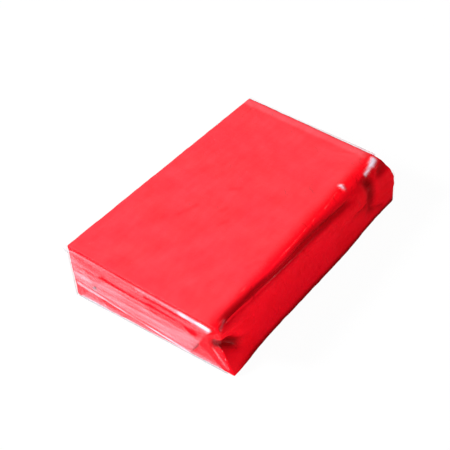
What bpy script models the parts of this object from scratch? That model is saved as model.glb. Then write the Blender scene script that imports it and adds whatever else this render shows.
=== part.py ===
"""A detailing clay bar in its clear film wrapper, modelled in metres with +Z up.

The origin is the centre of the base. +Y runs along the bar to its rear end, and +X to its right side.
The bar is one block of clay. The wrapper is one sheet of film, rolled round the block into a sleeve
whose long edges lap under the base, and folded in over each end like the end of a parcel: the lower
flap first, then the two side tucks, then the upper flap, which was folded askew and is deeper on the
right. Each folded panel turns on its own crease.
"""
import math

import bmesh
import bpy
from mathutils import Matrix, Vector

# Driving dimensions of the block.
BAR_LENGTH = 0.090
BAR_WIDTH = 0.060
BAR_THICKNESS = 0.020
BASE_ROUND = 0.0010
TOP_LEFT_ROUND = 0.0009
END_ROUND = 0.0010

# The block's upper right edge is pressed down: a slope that widens from the front end to the rear.
SLOPE_FRONT = 0.0016
SLOPE_REAR = 0.0042
SLOPE_STEEPNESS = 1.1
SLOPE_ROUND = 1.2

# Two corners are out of square. The front end's lower right corner lies back from its plane, and the
# rear end's upper right corner is pushed forwards and down, over the upper part of the end only.
FRONT_CORNER_BACK = 0.0030
REAR_CORNER_FORWARD = 0.0036
REAR_CORNER_DOWN = 0.0015
REAR_CORNER_HEIGHT = 0.010

# The film, the space that each layer keeps to the next, and the distance from layer to layer.
FILM = 0.0002
GAP = 0.0003
LAYER = FILM + GAP

# The lap under the base, and how long the step is that carries its outer layer under the inner one.
LAP = 0.014
JOGGLE = 0.0010

# The folded panels. A panel starts a little short of its crease, and its sides start inside the edges.
LOWER_DEPTH = 0.014
UPPER_DEPTH_LEFT = 0.0145
UPPER_DEPTH_RIGHT = 0.0200
UPPER_TIP_RIGHT = 0.0167
UPPER_LEFT_LEAN = 0.0010
TUCK_DEPTH = 0.015
TUCK_SHOULDER_DEPTH = 0.007
TUCK_SHOULDER_HEIGHT = 0.014
CREASE_ROOM = 0.00025
FLAP_INSET = 0.0010

# How far past the block's end face each layer's middle lies, and how far the sleeve runs on past it.
LOWER_LAYER = LAYER
TUCK_LAYER = 2 * LAYER
UPPER_LAYER = 3 * LAYER
SLEEVE_REACH = {
    "base": LOWER_LAYER - GAP,
    "side": TUCK_LAYER - GAP - FILM / 2,
    "top": UPPER_LAYER - GAP,
}

# Heights, with the film's two lapped layers under the block.
FLOOR_FILM = FILM / 2
BLOCK_BASE = 2 * LAYER
BLOCK_TOP = BLOCK_BASE + BAR_THICKNESS
FILM_OFFSET = GAP + FILM / 2
TOP_FILM = BLOCK_TOP + FILM_OFFSET
SIDE_FILM = BAR_WIDTH / 2 + FILM_OFFSET

STATIONS = 7
ARC_STEPS = 6
END_STEPS = 4

# The way that each end and each side lies from the middle.
ENDS = {"front": -1, "rear": 1}
SIDES = {"left": -1, "right": 1}

# Edges that turn more than this are drawn sharp.
SHARP_TURN = math.radians(35)

CLAY_RED = (0.80, 0.012, 0.022, 1.0)
CLAY_ROUGHNESS = 0.45
FILM_CLEAR = (0.93, 0.94, 0.95, 1.0)
FILM_ROUGHNESS = 0.12
FILM_ALPHA = 0.3


def clear_scene():
    for found in list(bpy.data.objects):
        bpy.data.objects.remove(found)


def make_collection(name):
    made = bpy.data.collections.new(name)
    bpy.context.scene.collection.children.link(made)
    return made


def make_material(name, colour, roughness, alpha=1.0):
    material = bpy.data.materials.new(name)
    material.use_nodes = True
    shader = material.node_tree.nodes["Principled BSDF"]
    shader.inputs["Base Color"].default_value = colour
    shader.inputs["Roughness"].default_value = roughness
    shader.inputs["Metallic"].default_value = 0.0
    shader.inputs["Alpha"].default_value = alpha
    return material


def slope_width(y):
    """Width of the pressed slope at this place along the bar."""
    along = min(max(y / BAR_LENGTH + 0.5, 0.0), 1.0)
    return SLOPE_FRONT + (SLOPE_REAR - SLOPE_FRONT) * along


def offset_corners(corners, grow):
    """Moves each side of a counter-clockwise outline outwards by grow, and returns the new corners."""
    moved = []
    for i, corner in enumerate(corners):
        arriving = (corner - corners[i - 1]).normalized()
        leaving = (corners[(i + 1) % len(corners)] - corner).normalized()
        outwards = Vector((arriving.y + leaving.y, -arriving.x - leaving.x)).normalized()
        half_turn = outwards.dot(Vector((arriving.y, -arriving.x)))
        moved.append(corner + outwards * grow / half_turn)
    return moved


def fillet(before, corner, after, radius):
    """Points of the arc that rounds one corner of a counter-clockwise outline."""
    arriving = (corner - before).normalized()
    leaving = (after - corner).normalized()
    turn = arriving.angle(leaving)
    start = corner - arriving * radius * math.tan(turn / 2)
    centre = start + Vector((-arriving.y, arriving.x)) * radius
    spoke = start - centre
    points = []
    for i in range(ARC_STEPS + 1):
        angle = turn * i / ARC_STEPS
        points.append(centre + Matrix.Rotation(angle, 2) @ spoke)
    return points


def section(y, base, grow=0.0):
    """The bar's cross-section at y as (x, z) points, counter-clockwise from its lower right corner."""
    slope = slope_width(y)
    right, top = BAR_WIDTH / 2, BLOCK_TOP
    corners = [
        Vector((right, BLOCK_BASE)),
        Vector((right, top - slope * SLOPE_STEEPNESS)),
        Vector((right - slope, top)),
        Vector((-right, top)),
        Vector((-right, BLOCK_BASE)),
    ]
    radii = [BASE_ROUND, slope * SLOPE_ROUND, slope * SLOPE_ROUND, TOP_LEFT_ROUND, BASE_ROUND]
    corners = offset_corners(corners, grow)
    corners[0].y = corners[-1].y = base
    points = []
    for i, corner in enumerate(corners):
        after = corners[(i + 1) % len(corners)]
        points += fillet(corners[i - 1], corner, after, radii[i] + grow)
    return points


def skin_rings(rings, closed):
    """A mesh whose rows of points are joined to the next row by four-sided faces."""
    mesh = bmesh.new()
    rows = [[mesh.verts.new(point) for point in ring] for ring in rings]
    count = len(rings[0])
    for row, following in zip(rows, rows[1:]):
        for i in range(count if closed else count - 1):
            j = (i + 1) % count
            mesh.faces.new((row[i], row[j], following[j], following[i]))
    return mesh, rows


def finish_object(name, mesh, material, collection):
    """Makes a named object from a bmesh, smooth where it is round."""
    bmesh.ops.recalc_face_normals(mesh, faces=mesh.faces)
    data = bpy.data.meshes.new(name)
    mesh.to_mesh(data)
    mesh.free()
    data.materials.append(material)
    data.shade_smooth()
    data.set_sharp_from_angle(angle=SHARP_TURN)
    made = bpy.data.objects.new(name, data)
    collection.objects.link(made)
    return made


def share(value):
    return min(max(value, 0.0), 1.0)


def front_corner(x, y, z):
    """Moves a point of the block for the front end's lower right corner, which lies back."""
    weight = share(x / BAR_WIDTH + 0.5) * share(-2 * y / BAR_LENGTH)
    weight *= share((BLOCK_TOP - z) / BAR_THICKNESS)
    return Vector((x, y + FRONT_CORNER_BACK * weight, z))


def rear_corner(x, y, z):
    """Moves a point of the block or the sleeve for the rear end's upper right corner, which is pushed in."""
    weight = share(x / BAR_WIDTH + 0.5) * share(2 * y / BAR_LENGTH)
    weight *= share((z - BLOCK_TOP + REAR_CORNER_HEIGHT) / REAR_CORNER_HEIGHT)
    return Vector((x, y - REAR_CORNER_FORWARD * weight, z - REAR_CORNER_DOWN * weight))


def block_rings():
    """Cross-sections from the front end to the rear, drawn in at both ends to round the end edges."""
    half = BAR_LENGTH / 2
    places = []
    for i in range(END_STEPS + 1):
        angle = math.pi / 2 * i / END_STEPS
        places.append((-half + END_ROUND * (1 - math.sin(angle)), -END_ROUND * (1 - math.cos(angle))))
    places.reverse()
    for i in range(1, STATIONS):
        y = (half - END_ROUND) * (2 * i / STATIONS - 1)
        places.append((y, 0.0))
    places += [(-y, grow) for y, grow in reversed(places[: END_STEPS + 1])]
    places.sort()
    rings = []
    for y, grow in places:
        points = section(y, BLOCK_BASE - grow, grow)
        rings.append([rear_corner(*front_corner(point.x, y, point.y)) for point in points])
    return rings


def build_clay_block(material, collection):
    mesh, rows = skin_rings(block_rings(), closed=True)
    for row in (rows[0], rows[-1]):
        mesh.faces.new(row)
    finish_object("clay_block", mesh, material, collection)


def sleeve_outline(y):
    """The rolled film's middle line: the inner edge of the lap, once round the bar, then the outer edge."""
    inner = FLOOR_FILM + LAYER
    half_lap = LAP / 2
    step_down = half_lap + FILM + GAP
    start = [
        Vector((-half_lap, inner)),
        Vector((step_down, inner)),
        Vector((step_down + JOGGLE, FLOOR_FILM)),
    ]
    return start + section(y, FLOOR_FILM, FILM_OFFSET) + [Vector((half_lap, FLOOR_FILM))]


def sleeve_reach(z):
    """How far the sleeve passes the block's end: least under the base, and furthest on the top."""
    if z > TOP_FILM - FILM:
        return SLEEVE_REACH["top"]
    if z < BLOCK_BASE:
        return SLEEVE_REACH["base"]
    return SLEEVE_REACH["side"]


def build_sleeve(material, collection):
    rings = []
    for i in range(STATIONS + 1):
        along = 2 * i / STATIONS - 1
        ring = []
        for point in sleeve_outline(along * BAR_LENGTH / 2):
            y = along * (BAR_LENGTH / 2 + sleeve_reach(point.y))
            ring.append(rear_corner(point.x, y, point.y))
        rings.append(ring)
    mesh, _ = skin_rings(rings, closed=False)
    sleeve = finish_object("film_sleeve", mesh, material, collection)
    wall = sleeve.modifiers.new("wall", "SOLIDIFY")
    wall.thickness = FILM
    wall.offset = 0.0
    wall.use_even_offset = True


def panel_mesh(name, outline, material, collection):
    """A flat film panel: an outline in its own XY plane, FILM thick, as a filled and extruded curve."""
    curve = bpy.data.curves.new(name, "CURVE")
    curve.dimensions = "2D"
    curve.fill_mode = "BOTH"
    curve.extrude = FILM / 2
    line = curve.splines.new("POLY")
    line.points.add(len(outline) - 1)
    line.use_cyclic_u = True
    for point, (u, v) in zip(line.points, outline):
        point.co = (u, v, 0.0, 1.0)
    curve.materials.append(material)
    panel = bpy.data.objects.new(name, curve)
    collection.objects.link(panel)
    return panel


def upper_outline(left, right):
    """The upper flap seen from outside its end, from its crease down.

    It keeps its full width on the left. Its tip runs down to the right, and its right side slants in.
    """
    return [
        (left + CREASE_ROOM, -CREASE_ROOM),
        (left + UPPER_LEFT_LEAN, -UPPER_DEPTH_LEFT),
        (UPPER_TIP_RIGHT, -UPPER_DEPTH_RIGHT),
        (right - CREASE_ROOM, -CREASE_ROOM),
    ]


def lower_outline(left, right):
    """The lower flap seen from outside its end, from its crease up. Both its sides slant in at 45 degrees."""
    return [
        (right - CREASE_ROOM, CREASE_ROOM),
        (right - LOWER_DEPTH, LOWER_DEPTH),
        (left + LOWER_DEPTH, LOWER_DEPTH),
        (left + CREASE_ROOM, CREASE_ROOM),
    ]


def tuck_outline(low, high):
    """A side tuck: square along the base, and slanting from its tip over a shoulder to its crease's top."""
    return [
        (CREASE_ROOM, low),
        (TUCK_DEPTH, low),
        (TUCK_SHOULDER_DEPTH, TUCK_SHOULDER_HEIGHT),
        (CREASE_ROOM, high),
    ]


def slope_at(end):
    """Width of the pressed slope with its rounding, as the film goes over it, at one end of the bar."""
    slope = slope_width(end * BAR_LENGTH / 2)
    turn = math.atan(SLOPE_STEEPNESS)
    rounding = slope * SLOPE_ROUND * math.tan(turn / 2)
    return slope + rounding


def stand_panel(panel, x, y, z, turn):
    """Stands a panel up at its crease, in an XZ plane, turned about the vertical."""
    panel.location = (x, y, z)
    panel.rotation_euler = (math.pi / 2, 0.0, turn)


def build_upper_flap(label, end, material, collection):
    """The upper flap, with its origin in the middle of its crease."""
    outline = upper_outline(FLAP_INSET - SIDE_FILM, SIDE_FILM - slope_at(end))
    flap = panel_mesh(f"{label}_upper_flap", outline, material, collection)
    stand_panel(flap, 0.0, end * (BAR_LENGTH / 2 + UPPER_LAYER), TOP_FILM, 0.0)


def build_lower_flap(label, end, material, collection):
    """The lower flap, with its origin in the middle of its crease."""
    outline = lower_outline(FLAP_INSET - SIDE_FILM, SIDE_FILM - FLAP_INSET)
    flap = panel_mesh(f"{label}_lower_flap", outline, material, collection)
    stand_panel(flap, 0.0, end * (BAR_LENGTH / 2 + LOWER_LAYER), FLOOR_FILM, 0.0)


def build_tuck(label, side_name, end, material, collection):
    """A side tuck, with its origin on its crease at the height of the floor."""
    side = SIDES[side_name]
    drop = slope_at(end) * SLOPE_STEEPNESS if side > 0 else FLAP_INSET
    outline = tuck_outline(FLOOR_FILM + LAYER, TOP_FILM - drop)
    tuck = panel_mesh(f"{label}_{side_name}_tuck", outline, material, collection)
    turn = math.pi if side > 0 else 0.0
    stand_panel(tuck, side * SIDE_FILM, end * (BAR_LENGTH / 2 + TUCK_LAYER), 0.0, turn)


def build_end(label, material, collection):
    end = ENDS[label]
    build_upper_flap(label, end, material, collection)
    build_lower_flap(label, end, material, collection)
    for side_name in SIDES:
        build_tuck(label, side_name, end, material, collection)


def main():
    clear_scene()
    collection = make_collection("clay_bar")
    clay = make_material("clay", CLAY_RED, CLAY_ROUGHNESS)
    film = make_material("film", FILM_CLEAR, FILM_ROUGHNESS, FILM_ALPHA)
    build_clay_block(clay, collection)
    build_sleeve(film, collection)
    for label in ENDS:
        build_end(label, film, collection)


main()
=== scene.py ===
"""The looks of a bar of red detailing clay in its clear film wrapper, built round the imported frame.

Metres, +Z up. +Y runs along the bar to its rear end and +X to its right side. The clay is one solid with
an uneven, cut surface. The film is one surface per panel, made on a grid laid out in the film's own flat
coordinates, then wrapped, creased and wrinkled. Each panel starts where the sleeve ends, at its crease.
"""
import math

import bpy
import numpy as np
from mathutils import Matrix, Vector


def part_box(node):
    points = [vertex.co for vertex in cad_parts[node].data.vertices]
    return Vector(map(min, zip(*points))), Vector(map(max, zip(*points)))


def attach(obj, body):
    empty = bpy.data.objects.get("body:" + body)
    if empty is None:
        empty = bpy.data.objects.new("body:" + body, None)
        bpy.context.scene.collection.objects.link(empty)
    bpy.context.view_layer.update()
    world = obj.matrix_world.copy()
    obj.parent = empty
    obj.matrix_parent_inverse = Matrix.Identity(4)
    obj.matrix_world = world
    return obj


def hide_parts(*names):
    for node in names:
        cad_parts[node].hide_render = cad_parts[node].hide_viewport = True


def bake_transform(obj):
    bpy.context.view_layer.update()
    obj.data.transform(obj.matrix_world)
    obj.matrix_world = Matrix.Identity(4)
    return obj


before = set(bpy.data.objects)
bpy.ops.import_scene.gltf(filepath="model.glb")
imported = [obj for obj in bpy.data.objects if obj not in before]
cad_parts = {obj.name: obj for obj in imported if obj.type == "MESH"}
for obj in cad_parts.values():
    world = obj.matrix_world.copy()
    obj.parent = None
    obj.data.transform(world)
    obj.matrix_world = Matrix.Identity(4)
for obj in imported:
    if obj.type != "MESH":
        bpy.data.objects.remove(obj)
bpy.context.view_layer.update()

MM = 0.001

# The block and the wrapped bar, from the frame.
BLOCK_LOW, BLOCK_HIGH = (np.array(corner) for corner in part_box("clay_block"))
WIDTH, LENGTH, THICKNESS = BLOCK_HIGH - BLOCK_LOW
BASE, TOP = BLOCK_LOW[2], BLOCK_HIGH[2]
SIDE_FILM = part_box("film_sleeve")[1].x - 0.1 * MM
TOP_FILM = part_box("film_sleeve")[1].z - 0.1 * MM
FILM_OFFSET = SIDE_FILM - WIDTH / 2
FLOOR_FILM = 0.05 * MM

# The block's pressed upper right edge: its width at either end, its steepness and how softly it turns.
SLOPE_FRONT, SLOPE_REAR = 0.8 * MM, 4.2 * MM
SLOPE_STEEPNESS = 1.1
SLOPE_ROUND = 1.2

# The corners that are out of square.
FRONT_CORNER_BACK = 2.8 * MM
FRONT_FOOT_OUT = 1.2 * MM
REAR_CORNER_FORWARD = 3.6 * MM
REAR_CORNER_DOWN = 1.5 * MM
REAR_CORNER_HEIGHT = 10 * MM

# Where the film goes round the block's edges, and how far its long edges are lapped under the base.
BASE_ROUND = 1.0 * MM
TOP_LEFT_ROUND = 0.9 * MM
CREASE_ROUND = 0.35 * MM
LAP = 14 * MM

# The folded panels, as in the CAD: the upper flap was folded askew, and is deeper on the right.
LOWER_DEPTH = 14 * MM
UPPER_DEPTH_LEFT, UPPER_DEPTH_RIGHT = 14.5 * MM, 20 * MM
UPPER_TIP_RIGHT = 16.7 * MM
UPPER_LEFT_LEAN = 1.0 * MM
TUCK_DEPTH = 15 * MM
TUCK_SHOULDER_DEPTH, TUCK_SHOULDER_HEIGHT = 7 * MM, 14 * MM

# How far past the block's end each folded layer of film lies.
LOWER_LAYER, TUCK_LAYER, UPPER_LAYER = 0.85 * MM, 1.05 * MM, 1.25 * MM

FRONT, REAR = -1, 1


# ---------------------------------------------------------------- curves that everything else is made of

def share(value):
    """The value, kept between zero and one."""
    return np.clip(value, 0.0, 1.0)


def ease(value, start, end):
    """Goes smoothly from zero, where the value is start, to one, where it is end, and stays there."""
    part = share((value - start) / (end - start))
    return part * part * (3 - 2 * part)


def bell(value):
    """One at zero, falling smoothly to nothing on both sides."""
    return np.exp(-value * value)


def waves(u, v, seed, length, stretch=1.0, octaves=4):
    """Smooth noise of about unit height over (u, v), made of summed sine waves of falling length."""
    rng = np.random.default_rng(seed)
    total = np.zeros(np.broadcast(u, v).shape)
    weight = 1.0
    for _ in range(octaves):
        for _ in range(5):
            angle = rng.uniform(0, 2 * math.pi)
            along, across = math.cos(angle) / stretch, math.sin(angle)
            phase = 2 * math.pi * (u * along + v * across) / length + rng.uniform(0, 2 * math.pi)
            total += weight * np.sin(phase) / 3
        weight *= 0.5
        length *= 0.53
    return total


def ridge(u, v, start, end, width, height, skew=0.35):
    """A fold from start to end: a rounded crest, steeper on one side, that fades towards its end.

    A fold of less than no height is a dent.
    """
    start, end = np.array(start), np.array(end)
    along = end - start
    length = np.linalg.norm(along)
    along = along / length
    du, dv = u - start[0], v - start[1]
    travel = (du * along[0] + dv * along[1]) / length
    aside = (du * -along[1] + dv * along[0]) / width
    aside = np.where(aside > 0, aside / (1 + skew), aside / (1 - skew))
    return height * ease(np.abs(aside), 1, 0) * ease(travel, 0, 0.12) * ease(travel, 1, 0.45)


def stripe(u, v, start, end, width):
    """One on the line from start to end, falling smoothly to nothing over a width round it."""
    start, end = np.array(start), np.array(end)
    along = end - start
    travel = share(((u - start[0]) * along[0] + (v - start[1]) * along[1]) / (along @ along))
    away = np.hypot(u - start[0] - travel * along[0], v - start[1] - travel * along[1])
    return bell(away / width)


def stripes(u, v, rows):
    """The sum of several stripes, each with its start, end, width and strength."""
    return sum(strength * stripe(u, v, start, end, width) for start, end, width, strength in rows)


# ---------------------------------------------------------------- the bar's outline

def slope_width(y):
    """How wide the pressed slope is: it grows from the front end to the rear."""
    return SLOPE_FRONT + (SLOPE_REAR - SLOPE_FRONT) * share(y / LENGTH + 0.5)


def out_of_square(points):
    """Moves the front end's foot, its lower right corner and the rear end's upper right corner."""
    x, y, z = points[..., 0], points[..., 1], points[..., 2]
    across = share(x / WIDTH + 0.5)
    foot = share(1 - (z - BASE) / THICKNESS) * share(-2 * y / LENGTH)
    rear = across * share((z - TOP + REAR_CORNER_HEIGHT) / REAR_CORNER_HEIGHT) * share(2 * y / LENGTH)
    moved = points.copy()
    moved[..., 1] += (FRONT_CORNER_BACK * across - FRONT_FOOT_OUT) * foot - REAR_CORNER_FORWARD * rear
    moved[..., 2] -= REAR_CORNER_DOWN * rear
    return moved


def arc(before, corner, after, radius, steps):
    """Points of the arc that rounds one corner of a counter-clockwise outline."""
    arriving = (corner - before) / np.linalg.norm(corner - before)
    leaving = (after - corner) / np.linalg.norm(after - corner)
    turn = math.acos(float(np.clip(arriving @ leaving, -1, 1)))
    start = corner - arriving * radius * math.tan(turn / 2)
    inwards = np.array([-arriving[1], arriving[0]])
    angles = np.linspace(0, turn, steps + 1)[:, None]
    return start + inwards * radius * (1 - np.cos(angles)) + arriving * radius * np.sin(angles)


def run(start, end, steps):
    """Points along a straight stretch, without its two ends."""
    return start + (end - start) * (np.arange(1, steps) / steps)[:, None]


def ring(y, grow, base, wall_steps, top_steps, slope_steps, arc_steps):
    """The film's closed path round the bar in XZ, from its lower right corner up, over and down."""
    slope = slope_width(y)
    right, top = WIDTH / 2 + grow, TOP + grow
    lean = grow * (math.sqrt(1 + SLOPE_STEEPNESS**2) - 1) / SLOPE_STEEPNESS
    corners = [
        np.array([right, base]),
        np.array([right, TOP - slope * SLOPE_STEEPNESS + lean]),
        np.array([WIDTH / 2 - slope + lean, top]),
        np.array([-right, top]),
        np.array([-right, base]),
    ]
    radii = [BASE_ROUND, slope * SLOPE_ROUND, slope * SLOPE_ROUND, TOP_LEFT_ROUND, BASE_ROUND]
    arcs = []
    for i, corner in enumerate(corners):
        after = corners[(i + 1) % len(corners)]
        arcs.append(arc(corners[i - 1], corner, after, radii[i] + grow, arc_steps))
    parts = [arcs[0]]
    for i, steps in enumerate((wall_steps, slope_steps, top_steps, wall_steps)):
        parts += [run(arcs[i][-1], arcs[i + 1][0], steps), arcs[i + 1]]
    return np.concatenate(parts)


# ---------------------------------------------------------------- the right side, which clay and film share

# The long groove below the top's right edge, which drops towards the rear, and the soft roll under it.
GROOVE_FRONT, GROOVE_START, GROOVE_FALL = -39 * MM, 0.3 * MM, 0.034
GROOVE_DEPTH, GROOVE_WIDTH = 0.95 * MM, 0.9 * MM
GROOVE_WANDER, GROOVE_WANDER_LENGTH = 0.15 * MM, 30 * MM
ROLL_HEIGHT, ROLL_WIDTH, ROLL_BELOW = 0.12 * MM, 1.5 * MM, 2.6 * MM

# Folds and dents: their start and end, as (y, z) in millimetres, then width, height and skew.
RIGHT_FOLDS = (
    ((34.5, 22), (30, 1), 4.8, -1.2, -0.1),
    ((48, 20.5), (36, 16.5), 2.6, -0.9, 0.3),
    ((30, 10), (17, 12), 2.0, -0.6, 0.3),
    ((40, 3), (28, 8), 2.0, -0.5, 0.0),
    ((-49, 13), (-35, 4.5), 3.6, -1.3, 0.3),
    ((-46, 10), (-30, 8), 1.8, -0.3, 0.3),
    ((-46, 18.5), (-30, 15.5), 2.0, 0.5, 0.3),
    ((46, 8), (33, 12), 2.4, 0.5, 0.3),
    ((26, 16), (4, 12), 3.0, 0.35, 0.2),
)

# How far the foot bulges out, over most of its length and round one place near the front end.
FOOT_BULGE, FRONT_BULGE = 0.8 * MM, 0.9 * MM
FOOT_HEIGHT = 4 * MM

# The front end's right edge is pinched in: where, how far the pinch reaches, and how far it moves the edge.
PINCH_PLACE = np.array([WIDTH / 2, -LENGTH / 2, 10.5 * MM])
PINCH_REACH = np.array([4.5, 5, 4]) * MM
PINCH_PUSH = np.array([-3.0, 1.7, 0]) * MM


def right_relief(y, z):
    """The dents and folds of the right side, which the clay and its film share. Outwards is positive."""
    along = ease(y / MM, -47, -39) * ease(y / MM, 25, 19)
    line = TOP - GROOVE_START - GROOVE_FALL * (y - GROOVE_FRONT)
    line += GROOVE_WANDER * waves(y, 0 * y, 31, GROOVE_WANDER_LENGTH, octaves=2)
    height = -GROOVE_DEPTH * along * bell((z - line) / GROOVE_WIDTH)
    height += ROLL_HEIGHT * along * bell((z - line + ROLL_BELOW) / ROLL_WIDTH)
    for start, end, width, rise, skew in RIGHT_FOLDS:
        height += ridge(y / MM, z / MM, start, end, width, rise * MM, skew)
    foot = FOOT_BULGE * ease(y / MM, 38, 14) + FRONT_BULGE * bell((y / MM + 45) / 9)
    height += foot * bell(z / FOOT_HEIGHT)
    return height + 0.10 * MM * waves(y, z, 33, 22 * MM, 1.8, 3)


def relieved(points):
    """Moves the right side by its relief: straight out on the wall, and aslant on the slope above it."""
    x, y, z = points[..., 0], points[..., 1], points[..., 2]
    on_right = ease(x, WIDTH / 2 - 3.5 * MM, WIDTH / 2 - 1 * MM)
    height = right_relief(y, z) * on_right * ease(z, -0.6 * MM, 0.4 * MM)
    slope_foot = TOP - slope_width(y) * SLOPE_STEEPNESS
    angle = ease(z, slope_foot, slope_foot + 1 * MM) * math.atan(1 / SLOPE_STEEPNESS)
    moved = points.copy()
    moved[..., 0] += height * np.cos(angle)
    moved[..., 2] += height * np.sin(angle)
    return moved


def pinch(points):
    """Draws the front end's right edge in, most at half of its height."""
    strength = bell((points - PINCH_PLACE) / PINCH_REACH).prod(axis=-1)
    return points + strength[..., None] * PINCH_PUSH


# ---------------------------------------------------------------- meshes

SHARP_ANGLE = math.radians(75)


def grid_normals(points):
    """Unit normals of a grid of points, from its neighbours."""
    down = np.gradient(points, axis=0)
    along = np.gradient(points, axis=1)
    normal = np.cross(down, along)
    return normal / np.maximum(np.linalg.norm(normal, axis=2, keepdims=True), 1e-12)


def link(obj):
    bpy.context.scene.collection.objects.link(obj)
    return obj


def add_attribute(mesh, name, values):
    """Gives each of a mesh's points a number, which its material reads."""
    attribute = mesh.attributes.new(name, "FLOAT", "POINT")
    attribute.data.foreach_set("value", share(values).astype(np.float32).ravel())


def grid_object(name, points, flat, haze_and_highlight, material, facing=None):
    """A smooth surface through a grid of points. Its UV map holds the film's flat coordinates, in metres.

    Its front is the side that the rows' and columns' directions give, or the side that faces the way
    given. haze_and_highlight is how white each point is: the film's haze and its painted highlights.
    """
    rows, columns = points.shape[:2]
    index = np.arange(rows * columns).reshape(rows, columns)
    if facing is not None and grid_normals(points).sum(axis=(0, 1)) @ np.array(facing) < 0:
        index = index[:, ::-1]
    corners = [index[:-1, :-1], index[1:, :-1], index[1:, 1:], index[:-1, 1:]]
    quads = np.stack(corners, axis=-1).reshape(-1, 4)
    mesh = bpy.data.meshes.new(name)
    mesh.from_pydata(points.reshape(-1, 3), [], quads)
    uv = mesh.uv_layers.new(name="flat")
    uv.data.foreach_set("uv", flat.reshape(-1, 2)[quads.ravel()].astype(np.float32).ravel())
    add_attribute(mesh, "haze_and_highlight", haze_and_highlight)
    mesh.shade_smooth()
    mesh.set_sharp_from_angle(angle=SHARP_ANGLE)
    mesh.materials.append(material)
    return link(bpy.data.objects.new(name, mesh))


# ---------------------------------------------------------------- materials

CLAY_DEEP_RED, CLAY_RED = (0.78, 0.0010, 0.0075, 1), (0.86, 0.0020, 0.0120, 1)
# Painted shade: the dark red painted into the clay's creases, the hollow under its front right corner and
# its right foot.
PAINTED_SHADE_RED = (0.26, 0.0006, 0.0020, 1)
# The film's white, for both its haze and the highlights painted into it.
HAZE_AND_HIGHLIGHT_WHITE = (0.92, 0.85, 1.0, 1)
WHITE = (1, 1, 1, 1)


def new_material(name):
    material = bpy.data.materials.new(name)
    material.use_nodes = True
    material.node_tree.nodes.clear()
    return material, material.node_tree


def put_out(tree, surface, kind="ShaderNodeOutputMaterial"):
    """Makes a shader the material's, or the world's, result."""
    tree.links.new(surface, tree.nodes.new(kind).inputs["Surface"])


def add(tree, kind, **inputs):
    """Adds a node and sets its inputs, each named with _ for a space."""
    node = tree.nodes.new(kind)
    for key, value in inputs.items():
        node.inputs[key.replace("_", " ")].default_value = value
    return node


def noise(tree, vector, scale, detail=3.0, roughness=0.5):
    node = add(tree, "ShaderNodeTexNoise", Scale=scale, Detail=detail, Roughness=roughness)
    tree.links.new(vector, node.inputs["Vector"])
    return node.outputs["Fac"]


def ramp(tree, value, low, high, from_value, to_value):
    """Maps a value from low..high to from_value..to_value, smoothly."""
    node = tree.nodes.new("ShaderNodeMapRange")
    node.interpolation_type = "SMOOTHSTEP"
    settings = {"From Min": low, "From Max": high, "To Min": from_value, "To Max": to_value}
    for key, setting in settings.items():
        node.inputs[key].default_value = setting
    tree.links.new(value, node.inputs["Value"])
    return node.outputs["Result"]


def combine(tree, operation, first, second):
    """Adds, multiplies or raises two values, each a number or a node's output."""
    node = tree.nodes.new("ShaderNodeMath")
    node.operation = operation
    for socket, value in zip(node.inputs, (first, second)):
        if isinstance(value, (int, float)):
            socket.default_value = value
        else:
            tree.links.new(value, socket)
    return node.outputs[0]


def mesh_value(tree, name):
    """A number that the mesh gives each of its points."""
    node = tree.nodes.new("ShaderNodeAttribute")
    node.attribute_name = name
    return node.outputs["Fac"]


def mix_shaders(tree, factor, first, second):
    """The first shader where the factor is zero, and the second where it is one."""
    node = tree.nodes.new("ShaderNodeMixShader")
    for socket, source in zip(node.inputs, (factor, first, second)):
        tree.links.new(source, socket)
    return node.outputs[0]


def clay_colour(tree, mottle):
    """Mottled red, with a painted shade of dark red in the right side's creases and hollows and along its
    foot.
    """
    colour = tree.nodes.new("ShaderNodeMix")
    colour.data_type = "RGBA"
    colour.inputs["A"].default_value = CLAY_DEEP_RED
    colour.inputs["B"].default_value = CLAY_RED
    tree.links.new(ramp(tree, mottle, 0.34, 0.62, 0, 1), colour.inputs["Factor"])
    shaded = tree.nodes.new("ShaderNodeMix")
    shaded.data_type = "RGBA"
    shaded.inputs["B"].default_value = PAINTED_SHADE_RED
    # Painted shade: the mesh's crease value darkens the clay towards its shade red.
    tree.links.new(mesh_value(tree, "crease"), shaded.inputs["Factor"])
    tree.links.new(colour.outputs["Result"], shaded.inputs["A"])
    return shaded.outputs["Result"]


def clay_material():
    """Soft red clay: a matte, slightly waxy body with faint mottling and small tears and pits."""
    material, tree = new_material("clay_red")
    place = tree.nodes.new("ShaderNodeTexCoord").outputs["Object"]
    mottle = noise(tree, place, 55, 4, 0.6)
    grain = noise(tree, place, 900, 3, 0.6)
    pits = ramp(tree, noise(tree, place, 320, 2, 0.5), 0.30, 0.42, -1.5, 0)
    bump = add(tree, "ShaderNodeBump", Strength=0.35, Distance=0.2 * MM)
    tree.links.new(combine(tree, "ADD", grain, pits), bump.inputs["Height"])
    shader = add(
        tree, "ShaderNodeBsdfPrincipled", Metallic=0.0, Specular_IOR_Level=0.03, Subsurface_Weight=0.08,
        Subsurface_Radius=(0.002, 0.0003, 0.0002), Subsurface_Scale=1.0,
    )
    tree.links.new(clay_colour(tree, mottle), shader.inputs["Base Color"])
    tree.links.new(ramp(tree, mottle, 0.3, 0.7, 0.62, 0.45), shader.inputs["Roughness"])
    tree.links.new(bump.outputs["Normal"], shader.inputs["Normal"])
    put_out(tree, shader.outputs[0])
    return material


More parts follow.
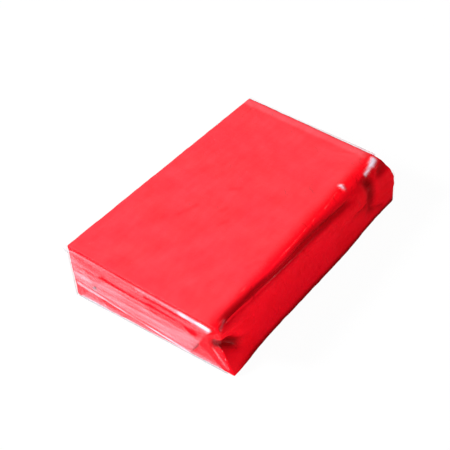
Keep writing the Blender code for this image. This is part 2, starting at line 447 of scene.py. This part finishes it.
def sheen(tree, normal, haze_and_highlight, least):
    """How mirror-like the film is: little when seen square on, and fully at a grazing angle.

    Film that clings to the clay, and so has no haze or painted highlight, hardly mirrors.
    """
    weight = add(tree, "ShaderNodeLayerWeight", Blend=0.5)
    tree.links.new(normal, weight.inputs["Normal"])
    grazing = combine(tree, "POWER", weight.outputs["Facing"], 5)
    mirror = combine(tree, "ADD", combine(tree, "MULTIPLY", grazing, 1 - least), least)
    return combine(tree, "MULTIPLY", mirror, ramp(tree, haze_and_highlight, 0, 0.03, 0.04, 1))


def film_material(name, cloudy, streaky, stretch):
    """Clear film: see-through, with its mesh's white haze and painted highlights, under a glossy surface.

    cloudy and streaky are how much clouds and streaks break the white up, and stretch is how far the
    streaks are drawn out along the folds.
    """
    material, tree = new_material(name)
    flat = tree.nodes.new("ShaderNodeUVMap")
    flat.uv_map = "flat"
    stretched = add(tree, "ShaderNodeMapping", Scale=(1.0 / stretch, 1.0, 1.0))
    tree.links.new(flat.outputs[0], stretched.inputs["Vector"])
    streaks = noise(tree, stretched.outputs[0], 480, 3, 0.55)
    cloud = noise(tree, flat.outputs[0], 70, 3, 0.5)
    fine = noise(tree, flat.outputs[0], 1500, 2, 0.5)
    clouded = ramp(tree, cloud, 0.3, 0.7, 1 - cloudy, 1 + cloudy)
    streaked = ramp(tree, streaks, 0.35, 0.65, 1 - streaky, 1 + streaky)
    broken = combine(tree, "MULTIPLY", clouded, streaked)
    # The mesh's white: the film's haze, and its painted highlights.
    haze_and_highlight = combine(tree, "MULTIPLY", mesh_value(tree, "haze_and_highlight"), broken)
    bump = add(tree, "ShaderNodeBump", Strength=0.25, Distance=0.15 * MM)
    height = combine(tree, "ADD", streaks, combine(tree, "MULTIPLY", fine, 0.15))
    tree.links.new(height, bump.inputs["Height"])
    clear = add(tree, "ShaderNodeBsdfTransparent", Color=WHITE)
    white = add(tree, "ShaderNodeBsdfDiffuse", Color=HAZE_AND_HIGHLIGHT_WHITE)
    gloss = add(tree, "ShaderNodeBsdfAnisotropic", Color=WHITE)
    tree.links.new(ramp(tree, cloud, 0.3, 0.7, 0.10, 0.20), gloss.inputs["Roughness"])
    for node in (white, gloss):
        tree.links.new(bump.outputs["Normal"], node.inputs["Normal"])
    body = mix_shaders(tree, haze_and_highlight, clear.outputs[0], white.outputs[0])
    mirrored = sheen(tree, bump.outputs["Normal"], haze_and_highlight, 0.04)
    put_out(tree, mix_shaders(tree, mirrored, body, gloss.outputs[0]))
    return material


# ---------------------------------------------------------------- the clay

CLAY_CELL = 0.6 * MM
CLAY_ROUND = 0.5 * MM
CLAY_ROUGHNESS = 0.07 * MM
# The soft clay bulges out to its film, past the plain block of the CAD.
CLAY_LOW = np.array([-WIDTH / 2 - 0.22 * MM, -LENGTH / 2 - 0.76 * MM, 0.24 * MM])
CLAY_HIGH = np.array([WIDTH / 2 + 0.22 * MM, LENGTH / 2 + 0.76 * MM, TOP + 0.22 * MM])


def box_grid():
    """The six faces of the clay's box, cut into square cells and joined, as vertices and faces."""
    mesh_points, faces, seen = [], [], {}
    counts = [round(side / CLAY_CELL) for side in CLAY_HIGH - CLAY_LOW]

    def vertex(cell):
        if cell not in seen:
            seen[cell] = len(mesh_points)
            mesh_points.append([c / n - 0.5 for c, n in zip(cell, counts)])
        return seen[cell]

    for axis in range(3):
        u, v = (axis + 1) % 3, (axis + 2) % 3
        for side in (0, counts[axis]):
            for i in range(counts[u]):
                for j in range(counts[v]):
                    loop = []
                    for du, dv in ((0, 0), (1, 0), (1, 1), (0, 1)):
                        cell = [0, 0, 0]
                        cell[axis], cell[u], cell[v] = side, i + du, j + dv
                        loop.append(vertex(tuple(cell)))
                    faces.append(loop if side else loop[::-1])
    return np.array(mesh_points) * (CLAY_HIGH - CLAY_LOW), faces


def rounded(points):
    """Rounds the edges of the clay's box. Returns its points and their outward normals."""
    inner = (CLAY_HIGH - CLAY_LOW) / 2 - CLAY_ROUND
    core = np.clip(points, -inner, inner)
    spoke = points - core
    normal = spoke / np.linalg.norm(spoke, axis=1, keepdims=True)
    return core + normal * CLAY_ROUND, normal


def pressed(points):
    """Presses the block's upper right edge down to its slope, softly."""
    slope = slope_width(points[:, 1])
    normal = np.array([SLOPE_STEEPNESS, 1.0]) / math.hypot(SLOPE_STEEPNESS, 1.0)
    past = (points[:, 0] - CLAY_HIGH[0] + slope) * normal[0] + (points[:, 2] - CLAY_HIGH[2]) * normal[1]
    soft = 0.25 * slope
    excess = soft * np.logaddexp(0, past / soft)
    points[:, 0] -= normal[0] * excess
    points[:, 2] -= normal[1] * excess
    return points


def painted_crease_shade(x, y, z):
    """How much painted shade the clay gets, from 0 to 1: in the groove and dents of its right side, in the
    hollow under its front right corner and along the right side's foot, where shadow falls.
    """
    on_right = ease(x, WIDTH / 2 - 4 * MM, WIDTH / 2 - 2 * MM)
    # Painted shade in the groove and dents of the right side.
    groove = ease(-right_relief(y, z), 0, 1.35 * MM)
    # Painted shadow in the hollow under the front right corner's overhang.
    hollow_shade = 0.45 * stripe(x / MM, z / MM, (26, 9.8), (31, 11.5), 2.8) * ease(y, -38 * MM, -42 * MM)
    # Painted shadow along the right side's foot, where it meets the floor.
    foot = 0.95 * ease(z, 3.2 * MM, 1 * MM) * ease(y + LENGTH / 2, -2 * MM, 10 * MM)
    return (groove + foot) * on_right + hollow_shade


def build_clay():
    """The block of clay: cut, rounded, pressed, dented like the film on it, and slightly uneven."""
    points, faces = box_grid()
    points, normal = rounded(points)
    points = relieved(pressed(points + (CLAY_LOW + CLAY_HIGH) / 2))
    x, y, z = points.T
    bumps = waves(x + z, y + 0.7 * z, 3, 14 * MM) + 0.5 * waves(x - z, y, 4, 4 * MM, octaves=3)
    sunk = -CLAY_ROUGHNESS * (1 + np.clip(bumps, -1, 2))
    points = out_of_square(pinch(points + normal * sunk[:, None]))
    mesh = bpy.data.meshes.new("clay")
    mesh.from_pydata(points, [], faces)
    mesh.shade_smooth()
    # The painted shade, which the clay's colour reads.
    add_attribute(mesh, "crease", painted_crease_shade(x, y, z))
    mesh.materials.append(clay_material())
    clay = link(bpy.data.objects.new("clay", mesh))
    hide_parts("clay_block")
    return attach(clay, "bar")


# ---------------------------------------------------------------- the sleeve

SLEEVE_ROWS = 230
WALL_STEPS, TOP_STEPS, SLOPE_STEPS, ARC_STEPS, LAP_STEPS = 44, 120, 3, 6, 24

# Under the base, the lap's inner edge lies this much higher than the film that covers it.
LAP_RISE = 0.15 * MM

# Tension lines in the top's film: the corner they start near, as (x, y) signs, then their start and end
# from that corner, as (x, y) in millimetres, and their width and height.
TENSION_LINES = (
    ((1, 1), (-5, 0), (-9, -20), 2.0, 0.12),
    ((1, 1), (-6, -12), (-5, -34), 1.2, 0.30),
    ((1, -1), (-2, 0), (-5, 24), 1.2, 0.25),
    ((-1, -1), (0, 0), (16, 12), 1.4, 0.12),
    ((-1, -1), (0, 0), (22, 5), 1.2, 0.10),
    ((-1, 1), (0, 0), (15, -10), 1.5, 0.12),
    ((1, 1), (-4, 0), (-22, -9), 1.4, 0.16),
)

# A small lump near the top's right edge, and a roll of slack film aslant of that edge, near the rear:
# their places, as (x, y), and widths in millimetres, and their heights.
LUMP_PLACE, LUMP_WIDTH, LUMP_HEIGHT = (24.7, 22.3), (1.2, 1.0), 0.35 * MM
SLACK_PLACE, SLACK_LEAN, SLACK_WIDTH, SLACK_HEIGHT = (26.3, 38), 0.29, 1.1, 0.30 * MM

# Places on the top, as (x, y) in millimetres: a stripe's start and end, then its width and strength.
# The film clings closer at the first ones, which are short marks; the others are painted highlights, white
# streaks and a spot where the film's folds and the lump catch the light.
CLINGING = (
    ((-10, -16), (-8, -10), 0.9, 0.011),
    ((0, -8), (0.6, -6), 0.9, 0.011),
    ((3.5, -13), (5, -10.5), 0.9, 0.011),
    ((-3.5, 2), (-1.5, 4), 0.9, 0.011),
    ((22, -23), (23.5, -19), 0.9, 0.011),
)
PAINTED_GLINTS = (
    ((25.3, 43.5), (26.0, 40.5), 0.7, 1.0),
    ((26.0, 40.5), (27.0, 35.0), 0.4, 0.8),
    ((24.2, 24.2), (25.2, 23.6), 0.7, 0.6),
    ((29.2, -42), (30.2, -45.2), 0.3, 0.06),
)


def sleeve_ring(y):
    """The rolled film: the inner edge of the lap, once round the bar, then the lap's outer edge."""
    around = ring(y, FILM_OFFSET, FLOOR_FILM, WALL_STEPS, TOP_STEPS, SLOPE_STEPS, ARC_STEPS)
    inner = FLOOR_FILM + LAP_RISE
    half = LAP / 2
    under = np.array([[-half, inner], [half + 0.5 * MM, inner]])
    inner_lap = np.concatenate([under[:1], run(under[0], under[1], LAP_STEPS), under[1:]])
    step = np.array([half + 1.5 * MM, FLOOR_FILM])
    outer_edge = np.array([half, FLOOR_FILM])
    parts = [inner_lap, step[None], run(step, around[0], LAP_STEPS), around]
    parts += [run(around[-1], outer_edge, 2 * LAP_STEPS), outer_edge[None]]
    return np.concatenate(parts)


def end_reach(z):
    """How far past the block's end the sleeve runs to its crease: most at the top, least at the base."""
    reach = TUCK_LAYER - CREASE_ROUND
    reach = reach + (UPPER_LAYER - TUCK_LAYER) * ease(z, TOP, TOP_FILM)
    return reach + (LOWER_LAYER - TUCK_LAYER) * ease(z, BASE, FLOOR_FILM)


def top_folds(x, y):
    """Faint tension lines on the top, from the corners, and the slack along the right edge."""
    u, v = x / MM, y / MM
    height = np.zeros(np.broadcast(u, v).shape)
    for signs, start, end, width, rise in TENSION_LINES:
        corner = np.array(signs) * (WIDTH / 2, LENGTH / 2) / MM
        height += ridge(u, v, corner + start, corner + end, width, rise * MM)
    lump = bell((u - LUMP_PLACE[0]) / LUMP_WIDTH[0]) * bell((v - LUMP_PLACE[1]) / LUMP_WIDTH[1])
    across = u - SLACK_PLACE[0] + SLACK_LEAN * (v - SLACK_PLACE[1])
    slack = bell(across / SLACK_WIDTH) * ease(v, 30, 33) * ease(v, 46, 43)
    return height + LUMP_HEIGHT * lump + SLACK_HEIGHT * slack


def sleeve_haze_and_highlights(x, y, z):
    """How hazy the sleeve is, with painted highlights on its top: clear where it clings, on the right, and
    milky where layers lie double.
    """
    edge = WIDTH / 2 - 0.3 * MM - 1.25 * slope_width(y)
    loose = ease(x, edge, edge - 4.5 * MM)
    u, v = x / MM, y / MM
    from_rear = LENGTH / 2 / MM - v
    double = ease(from_rear, 0, 1) * ease(from_rear, 4.0, 2.4) * ease(u, 26, 21)
    top = 0.042 + 0.004 * waves(x, y, 51, 12 * MM) + 0.04 * double - stripes(u, v, CLINGING)
    # The painted highlights are added on the top.
    return np.where(z > TOP - 1 * MM, loose * top + stripes(u, v, PAINTED_GLINTS), loose * 0.08)


def build_sleeve(material):
    """The film round the bar's four long sides, one row of points for each place along the bar."""
    along = np.linspace(-1, 1, SLEEVE_ROWS)
    rings = [sleeve_ring(t * LENGTH / 2) for t in along]
    points = np.zeros((SLEEVE_ROWS, len(rings[0]), 3))
    for row, (t, outline) in enumerate(zip(along, rings)):
        points[row, :, 0] = outline[:, 0]
        points[row, :, 2] = outline[:, 1]
        points[row, :, 1] = t * (LENGTH / 2 + end_reach(outline[:, 1]))
    travel = np.zeros(points.shape[:2])
    travel[:, 1:] = np.cumsum(np.linalg.norm(np.diff(points[:, :, [0, 2]], axis=1), axis=2), axis=1)
    x, y, z = points[..., 0], points[..., 1], points[..., 2]
    on_top = ease(z, TOP, TOP + 0.3 * MM) * ease(x, WIDTH / 2, WIDTH / 2 - 2 * MM)
    above_foot = ease(z, 1 * MM, 3 * MM)
    on_right = ease(x, WIDTH / 2 - 1 * MM, WIDTH / 2) * above_foot
    on_left = ease(-x, WIDTH / 2, WIDTH / 2 + 0.3 * MM) * above_foot
    height = on_top * (0.05 * MM * waves(x, y, 11, 12 * MM) + top_folds(x, y))
    height += on_right * 0.05 * MM * waves(y, z, 12, 9 * MM, 2.2)
    height += on_left * 0.10 * MM * waves(y, z, 13, 12 * MM, 2.0)
    height = np.clip(height, -0.1 * MM, None) * ease(np.abs(y), LENGTH / 2, LENGTH / 2 - 1.5 * MM)
    wrinkled = points + grid_normals(points) * height[..., None]
    wrinkled = out_of_square(pinch(relieved(wrinkled)))
    flat = np.stack([y, travel], axis=-1)
    sleeve = grid_object("film_wrap", wrinkled, flat, sleeve_haze_and_highlights(x, y, z), material)
    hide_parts("film_sleeve")
    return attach(sleeve, "bar")


# ---------------------------------------------------------------- the folded ends

FLAP_CELL = 0.35 * MM
GUSSET_GAP, LOWER_GUSSET_GAP = 0.15 * MM, 0.1 * MM
GUSSET_TURN = math.radians(45)

# The upper flap and the right tuck stop this many slope widths short of the block's square corner.
SLOPE_CLEARANCE = 1.3

# The front left corner's small ear of film, pulled out.
EAR_REACH = 5 * MM
EAR_PUSH = np.array([-1.3, -0.9, -0.2]) * MM

# The upper flap's streaks, as (across, down the flap) in millimetres: a streak's start and end, then its
# width and how much it adds. The first four are a painted highlight under the crease, faint on the left
# and white towards the right corner; the others are milky and clear streaks in the film.
UPPER_STREAKS_AND_HIGHLIGHT = (
    ((-30, 1.2), (0, 1.2), 0.6, 0.06),
    ((0, 1.4), (18, 1.4), 0.9, 0.16),
    ((17, 1.5), (26, 2.1), 1.5, 0.45),
    ((24, 2.0), (28.4, 3.6), 1.2, 0.60),
    ((2, 3.9), (19, 3.9), 0.5, -0.13),
    ((-16, 5.9), (4, 7.2), 0.8, -0.10),
    ((4, 7.2), (20, 8.6), 1.6, -0.13),
    ((-29.5, 9), (-24, 11), 1.8, 0.04),
)

# The front right tuck's one fold, with a painted highlight along its edge, as (x, z) in millimetres.
TUCK_FOLD_HIGHLIGHT = (((26.5, 9), (30.4, 3), 0.45, 0.12),)


def crease_path(travel):
    """How far out, and how far in along the end, a crease carries film this far past it."""
    quarter = CREASE_ROUND * math.pi / 2
    angle = np.clip(travel / CREASE_ROUND, 0, math.pi / 2)
    outwards = CREASE_ROUND * np.sin(angle)
    inwards = CREASE_ROUND * (1 - np.cos(angle)) + np.maximum(travel - quarter, 0)
    return outwards, inwards


def folded_panel(left, right, lean_left, lean_right, depth_left, depth_right):
    """A flap's film, with the corners past its two slanted folds turned under.

    Returns each point's flat coordinates, its place across and down the flap once it is folded, and how
    far it lies past the nearer fold. The leans are the angles from the crease to the folds.
    """
    columns = round((right - left) / FLAP_CELL)
    rows = round(max(depth_left, depth_right) / FLAP_CELL)
    column, row = np.meshgrid(np.linspace(0, 1, columns), np.linspace(0, 1, rows))
    spread_left = math.tan(max(lean_left - GUSSET_TURN, 0))
    spread_right = math.tan(max(lean_right - GUSSET_TURN, 0))
    travel = row * (depth_left + (depth_right - depth_left) * column)
    across = left + (right - left) * column
    across += travel * (spread_right * column**6 - spread_left * (1 - column) ** 6)
    folded_across, folded_travel = across.copy(), travel.copy()
    past = np.full(across.shape, -1.0)
    for side, corner, lean in ((-1, left, lean_left), (1, right, lean_right)):
        beyond = (across - corner) * side * math.sin(lean) + travel * math.cos(lean)
        turned = 2 * np.maximum(beyond, 0)
        folded_across -= turned * side * math.sin(lean)
        folded_travel -= turned * math.cos(lean)
        past = np.maximum(past, beyond)
    return across, travel, folded_across, folded_travel, past


def turned_under(past):
    """Nothing on a flap's open face, and one on the film that its slanted folds turn under."""
    return ease(past, -0.4 * MM, 0.4 * MM)


def short_of_fold(past):
    """One on a flap's open face, and nothing from just before its slanted folds on."""
    return ease(past, -0.2 * MM, -1.0 * MM)


def dog_ear(points, corner, reach, push):
    """Pulls the film out at a corner, fading with distance."""
    away = np.linalg.norm(points - np.array(corner), axis=-1)
    return points + np.array(push) * (ease(away, reach, 0) ** 1.5)[..., None]


def upper_relief(x, travel, seed):
    """The upper flap's folds: long streaks along its crease, and a raised roll and a groove under it."""
    u, t = x / MM, travel / MM
    height = 0.16 * MM * waves(x, travel, seed, 5 * MM, 7.0) * ease(t, 0, 3)
    height += 0.30 * MM * bell((t - 1.5) / 1.0) * ease(u, -20, 20)
    return height - 0.30 * MM * bell((t - 3.6 - 0.02 * u) / 0.6) * ease(u, -8, 2)


def upper_depth(x, left, right):
    """How deep the upper flap is at x, when it has its left and right depths at the places given."""
    return UPPER_DEPTH_LEFT + (UPPER_DEPTH_RIGHT - UPPER_DEPTH_LEFT) * (x - left) / (right - left)


def upper_haze_and_highlights(x, travel, past):
    """How milky the upper flap is: milky over the lower flap and clear in streaks, with a painted highlight
    along its crease and along its tip, and clearer just above its tip.
    """
    u, t = x / MM, travel / MM
    to_tip = (upper_depth(x, -SIDE_FILM, UPPER_TIP_RIGHT) - travel) / MM
    over_lower = (TOP_FILM - LOWER_DEPTH) / MM + 0.5
    # Haze, with the painted highlight under the crease from the streaks table.
    haze_and_highlight = 0.09 + 0.05 * ease(t, over_lower, over_lower + 2.0) + stripes(u, t, UPPER_STREAKS_AND_HIGHLIGHT)
    # A painted highlight along the flap's tip, brightest towards the left.
    haze_and_highlight += (0.10 + 0.35 * ease(u, -24, -12)) * bell(to_tip / 0.45)
    # Clearer, so darker red, just above the tip on the left.
    haze_and_highlight -= 0.11 * bell((to_tip - 1.1) / 0.5) * ease(u, 14, 4)
    return haze_and_highlight * ease(t, 0.45, 1.35) * short_of_fold(past)


def stand(end, layer, across, inwards, outwards, edge, upwards):
    """Film points on the bar's end, with inwards measured from an edge's height, up or down the end."""
    y = end * (LENGTH / 2 + layer - CREASE_ROUND + outwards)
    return np.stack([across, y, edge + upwards * inwards], axis=-1)


def finish_panel(panel, node):
    """Hides the panel's node from the frame, and bakes the panel's place into its mesh."""
    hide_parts(node)
    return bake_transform(panel)


def build_upper(name, end, material, seed):
    """The flap that was folded down last, with its slanted right edge, its milky streaks and its painted
    highlights.
    """
    slope = slope_width(end * LENGTH / 2)
    left, right = -SIDE_FILM + 0.2 * MM, SIDE_FILM - SLOPE_CLEARANCE * slope
    lean_left = math.atan2(UPPER_DEPTH_LEFT, UPPER_LEFT_LEAN)
    lean_right = math.atan2(UPPER_DEPTH_RIGHT, right - UPPER_TIP_RIGHT)
    depths = UPPER_DEPTH_LEFT, upper_depth(right, left, UPPER_TIP_RIGHT)
    across, travel, x, down, past = folded_panel(left, right, lean_left, lean_right, *depths)
    outwards, inwards = crease_path(np.minimum(down, travel))
    height = upper_relief(x, down, seed) * ease(travel, 0.3 * MM, 1.1 * MM)
    height -= GUSSET_GAP * turned_under(past)
    height = np.maximum(height, np.where(past > 0, -0.25 * MM, -0.12 * MM))
    points = out_of_square(pinch(stand(end, UPPER_LAYER, x, inwards, outwards + height, TOP_FILM, -1)))
    if end == FRONT:
        points = dog_ear(points, (-SIDE_FILM, -LENGTH / 2, TOP_FILM), EAR_REACH, EAR_PUSH)
    flat = np.stack([across, travel], axis=-1)
    haze_and_highlight = upper_haze_and_highlights(x, down, past)
    flap = grid_object(f"{name}_upper_flap_film", points, flat, haze_and_highlight, material, (0, end, 0))
    return finish_panel(flap, f"{name}_upper_flap")


def build_lower(name, end, material, seed):
    """The flap that was folded up first, under all the others."""
    left, right = -SIDE_FILM + 0.2 * MM, SIDE_FILM - 0.2 * MM
    lean = math.radians(45)
    across, travel, x, up, past = folded_panel(left, right, lean, lean, LOWER_DEPTH, LOWER_DEPTH)
    outwards, inwards = crease_path(np.minimum(up, travel))
    height = 0.08 * MM * waves(x, up, seed, 6 * MM, 5.0) * ease(up, 0, 3 * MM)
    height = np.clip(height - LOWER_GUSSET_GAP * turned_under(past), -0.12 * MM, 0.14 * MM)
    points = out_of_square(stand(end, LOWER_LAYER, x, inwards, outwards + height, FLOOR_FILM, 1))
    flat = np.stack([across, travel], axis=-1)
    haze_and_highlight = (0.05 + 0.22 * ease(up, 4 * MM, 0)) * short_of_fold(past)
    flap = grid_object(f"{name}_lower_flap_film", points, flat, haze_and_highlight, material, (0, end, 0))
    return finish_panel(flap, f"{name}_lower_flap")


def build_tuck(name, end, side, material, seed):
    """One side's tuck, folded in between the two flaps: widest at its foot, with a shoulder higher up."""
    label, drop, haze = "left", 0.4 * MM, 0.07
    if side > 0:
        label, haze = "right", 0.015
        drop = SLOPE_CLEARANCE * SLOPE_STEEPNESS * slope_width(end * LENGTH / 2)
    low, high = 0.3 * MM, TOP_FILM - drop
    rows, columns = round(TUCK_DEPTH / FLAP_CELL), round((high - low) / FLAP_CELL)
    z, part = np.meshgrid(np.linspace(low, high, columns), np.linspace(0, 1, rows))
    shoulder = min(TUCK_SHOULDER_HEIGHT, high - 0.5 * MM)
    width = np.interp(z, [low, shoulder, high], [TUCK_DEPTH, TUCK_SHOULDER_DEPTH, 0.3 * MM])
    travel = part * width
    outwards, inwards = crease_path(travel)
    wrinkle = 0.06 * MM * waves(z, travel, seed, 6 * MM, 2.5) * ease(travel, 0, 2 * MM)
    x = side * (SIDE_FILM - inwards)
    y = end * (LENGTH / 2 + TUCK_LAYER - CREASE_ROUND + outwards + wrinkle)
    points = out_of_square(pinch(np.stack([x, y, z], axis=-1)))
    flat = np.stack([z, travel], axis=-1)
    haze_and_highlight = np.full(z.shape, haze)
    if (end, side) == (FRONT, 1):
        # A painted highlight along the front right tuck's fold.
        haze_and_highlight += stripes(x / MM, z / MM, TUCK_FOLD_HIGHLIGHT)
    tuck = grid_object(f"{name}_{label}_tuck_film", points, flat, haze_and_highlight, material, (0, end, 0))
    return finish_panel(tuck, f"{name}_{label}_tuck")


def build_end(name, end, material, seed):
    """The four panels of one end: the upper flap, the lower flap and the two side tucks."""
    pieces = [build_upper(name, end, material, seed), build_lower(name, end, material, seed + 10)]
    pieces += [build_tuck(name, end, side, material, seed + 20 + side) for side in (-1, 1)]
    return pieces


# ---------------------------------------------------------------- floor, light and camera

AMBIENT, REFLECTED = 0.24, 0.02
FLOOR_GREY = (0.85, 0.85, 0.85, 1)
FLOOR_DROP = 0.02 * MM

VIEW_AZIMUTH, VIEW_ELEVATION, VIEW_ROLL = (math.radians(angle) for angle in (43.89, 42.32, -7.44))
VIEW_DISTANCE = 279.2 * MM
VIEW_TARGET = np.array([-2.85, -3.83, 10.75]) * MM
LENS, SENSOR = 69.18, 36.0


def floor_material():
    """A plain white floor, which the film's reflections see far darker than the camera does."""
    material, tree = new_material("floor")
    path = tree.nodes.new("ShaderNodeLightPath")
    matte = add(tree, "ShaderNodeBsdfDiffuse", Color=FLOOR_GREY)
    glow = add(tree, "ShaderNodeEmission", Color=WHITE, Strength=1.0)
    dim = add(tree, "ShaderNodeEmission", Color=WHITE, Strength=0.03)
    to_camera = combine(tree, "MULTIPLY", path.outputs["Is Camera Ray"], 0.97)
    seen = mix_shaders(tree, to_camera, matte.outputs[0], glow.outputs[0])
    put_out(tree, mix_shaders(tree, path.outputs["Is Glossy Ray"], seen, dim.outputs[0]))
    return material


def build_floor():
    bpy.ops.mesh.primitive_plane_add(size=6, location=(0, 0, -FLOOR_DROP))
    floor = bpy.context.active_object
    floor.name = "floor"
    floor.data.materials.append(floor_material())


def build_world():
    """White to the camera, dim to reflections, and a soft even light to everything else."""
    world = bpy.data.worlds.new("studio")
    bpy.context.scene.world = world
    world.use_nodes = True
    tree = world.node_tree
    tree.nodes.clear()
    path = tree.nodes.new("ShaderNodeLightPath")
    lit = add(tree, "ShaderNodeBackground", Color=WHITE, Strength=AMBIENT).outputs[0]
    for ray, strength in (("Is Glossy Ray", REFLECTED), ("Is Camera Ray", 1.0)):
        other = add(tree, "ShaderNodeBackground", Color=WHITE, Strength=strength)
        lit = mix_shaders(tree, path.outputs[ray], lit, other.outputs[0])
    put_out(tree, lit, "ShaderNodeOutputWorld")


def aim(obj, place, target, roll=0.0):
    """Stands a light or a camera at a place, looking at a target, rolled about its own line of sight."""
    place, target = np.array(place, float), np.array(target, float)
    back = (place - target) / np.linalg.norm(place - target)
    right = np.cross([0, 0, 1], back)
    right /= np.linalg.norm(right)
    up = np.cross(back, right)
    rolled_right = right * math.cos(roll) + up * math.sin(roll)
    rolled_up = up * math.cos(roll) - right * math.sin(roll)
    turned = Matrix(np.stack([rolled_right, rolled_up, back], axis=1).tolist()).to_4x4()
    obj.matrix_world = Matrix.Translation(place.tolist()) @ turned


def area_light(name, place, size, power):
    """A rectangular light at a place, aimed at the bar's middle, of a power in watts."""
    data = bpy.data.lights.new(name, "AREA")
    data.shape = "RECTANGLE"
    data.size, data.size_y = size
    data.energy = power
    aim(link(bpy.data.objects.new(name, data)), place, (0, 0, 10 * MM))


def build_lights():
    """A soft main light from the front left, a low one on the right side, and a small one for glints."""
    area_light("key", (-0.66, -0.70, 0.74), (0.25, 0.25), 27)
    area_light("fill", (0.95, -0.45, 0.10), (0.5, 0.2), 3.9)
    area_light("glint", (-0.12, 0.60, 0.79), (0.05, 0.05), 1.5)


def build_camera():
    """The viewpoint: from the front right, above, with the camera tipped a little."""
    data = bpy.data.cameras.new("camera")
    data.lens, data.sensor_width = LENS, SENSOR
    data.clip_start, data.clip_end = 0.01, 20
    camera = link(bpy.data.objects.new("camera", data))
    level, height = math.cos(VIEW_ELEVATION), math.sin(VIEW_ELEVATION)
    back = np.array([math.sin(VIEW_AZIMUTH) * level, -math.cos(VIEW_AZIMUTH) * level, height])
    aim(camera, VIEW_TARGET + back * VIEW_DISTANCE, VIEW_TARGET, VIEW_ROLL)
    bpy.context.scene.camera = camera


def main():
    bpy.context.scene.view_settings.view_transform = "Standard"
    build_camera()
    build_clay()
    sleeve_film = film_material("film_clear", cloudy=0.08, streaky=0.06, stretch=4)
    folded_film = film_material("film_folded", cloudy=0.2, streaky=0.45, stretch=16)
    sleeve = build_sleeve(sleeve_film)
    pieces = build_end("front", FRONT, folded_film, 100)
    pieces += build_end("rear", REAR, folded_film, 200)
    build_floor()
    build_world()
    build_lights()


main()
